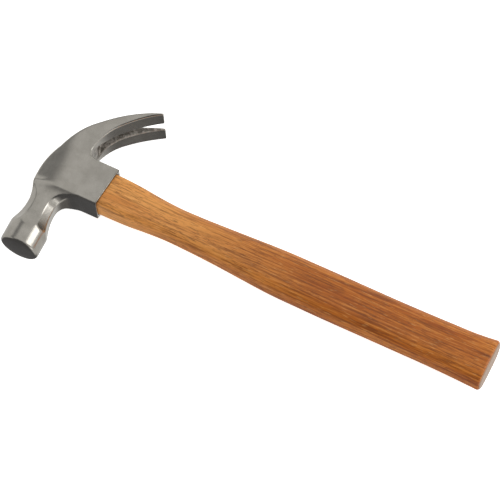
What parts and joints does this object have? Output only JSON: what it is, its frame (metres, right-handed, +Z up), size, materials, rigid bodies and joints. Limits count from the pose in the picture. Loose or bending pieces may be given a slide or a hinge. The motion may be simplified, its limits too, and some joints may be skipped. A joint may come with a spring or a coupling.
{
  "type": "claw hammer",
  "caption": "Curved-claw hammer with a forged steel head, round striking poll, octagonal neck and a lacquered wooden handle wedged into its eye.",
  "frame": {"origin": "middle of the bounding box's bottom, with the hammer lying on its side; the lowest points are the edges of the claw tips", "axes": "+X along the handle from the head to the butt, +Y from the striking face to the claws, +Z up, square to the cheeks"},
  "size_m": [0.329, 0.1238, 0.0388],
  "materials": {
    "forged_steel": "satin, clear lacquered",
    "handle_wood": "clear gloss lacquer",
    "wedge_wood": "bare end grain",
    "wedge_steel": "dull"
  },
  "bodies": {
    "root": {"head": "forged_steel", "handle": "handle_wood", "wooden_wedge": "wedge_wood", "steel_wedge_front": "wedge_steel", "steel_wedge_rear": "wedge_steel"}
  },
  "joints": []
}
